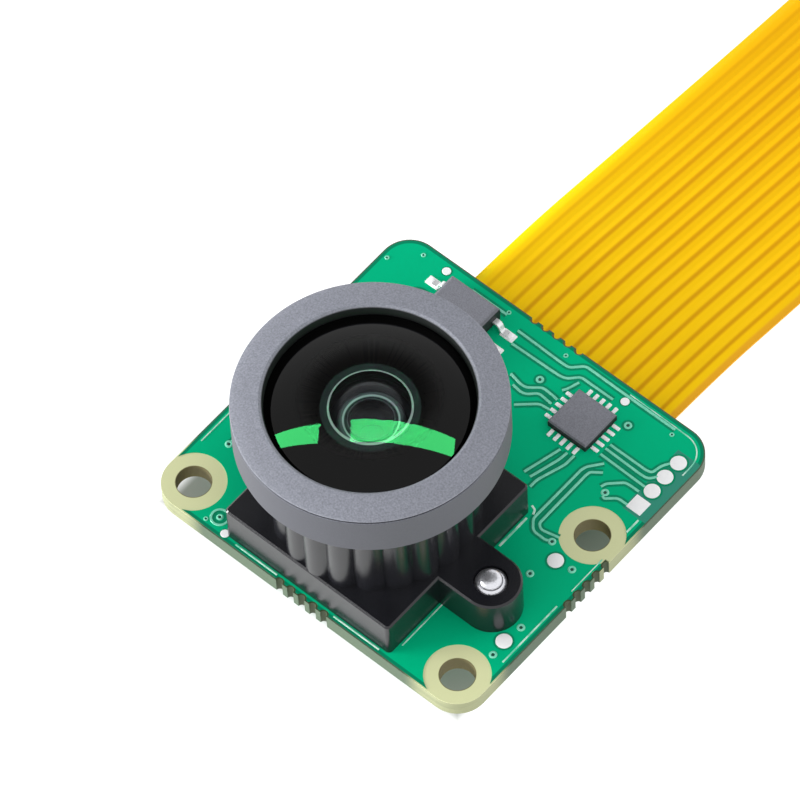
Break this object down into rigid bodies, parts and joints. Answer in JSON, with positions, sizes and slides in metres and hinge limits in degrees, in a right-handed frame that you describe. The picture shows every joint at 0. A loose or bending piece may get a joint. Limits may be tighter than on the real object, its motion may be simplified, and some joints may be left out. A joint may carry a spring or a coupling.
{
  "type": "camera module",
  "caption": "Small camera module: a wide-angle screw lens in a ribbed holder on a green circuit board, with a flat ribbon cable leaving a latched connector at the rear.",
  "frame": {"origin": "centre of the rectangle of the board's four mounting holes, on the board's rear face", "axes": "+Z out of the board's front along the way the lens looks, +Y in the board's plane towards the edge that the ribbon cable leaves, +X to the right of both, along the lens holder's screw ears"},
  "size_m": [0.025, 0.1706, 0.019],
  "materials": {
    "green_laminate": "semi-gloss green solder mask over glass laminate",
    "black_moulding": "fine matte moulding",
    "screw_steel": "plated",
    "filter_glass": "coated, polished",
    "sensor_package": "smooth",
    "optical_glass": "polished with an anti-reflection coating",
    "chip_moulding": "fine matte",
    "tinned_lead": "tinned, slightly dull",
    "lid_metal": "satin lid",
    "ceramic_tan": "fired ceramic with tinned ends",
    "resistor_black": "glazed with tinned ends",
    "connector_white": "ivory moulding",
    "latch_black": "black moulding",
    "gold_contact": "thin gold plating",
    "ribbon_film": "amber polyimide film over copper strips",
    "stiffener_blue": "bonded strip",
    "barrel_black": "black anodised, satin"
  },
  "bodies": {
    "module": {"circuit_board": "green_laminate", "lens_holder": "black_moulding", "holder_screws": "screw_steel", "infrared_filter": "filter_glass", "image_sensor": "sensor_package", "sensor_cover_glass": "optical_glass", "front_chip": "chip_moulding", "memory_chip": "chip_moulding", "memory_chip_leads": "tinned_lead", "voltage_regulators": "chip_moulding", "regulator_leads": "tinned_lead", "clock_oscillator": "lid_metal", "capacitors": "ceramic_tan", "resistors": "resistor_black", "connector_housing": "connector_white", "connector_contacts": "gold_contact", "connector_anchors": "tinned_lead", "ribbon_cable": "ribbon_film", "cable_near_stiffener": "stiffener_blue", "cable_near_fingers": "tinned_lead", "cable_far_stiffener": "stiffener_blue", "cable_far_fingers": "tinned_lead"},
    "lens": {"lens_barrel": "barrel_black", "front_element": "optical_glass", "second_element": "optical_glass", "spacer_ring": "barrel_black", "third_element": "optical_glass", "aperture_stop": "barrel_black", "rear_element": "optical_glass", "rear_ring": "barrel_black"},
    "latch": {"connector_latch": "latch_black"}
  },
  "joints": [
    {"name": "lens_focus", "type": "hinge", "parent": "module", "child": "lens", "pos_m": [0, -0.0013, 0], "axis": [0, 0, 1], "range_deg": [-180, 180]},
    {"name": "latch_slide", "type": "slide", "parent": "module", "child": "latch", "axis": [0, 1, 0], "range_m": [0, 0.001]}
  ]
}
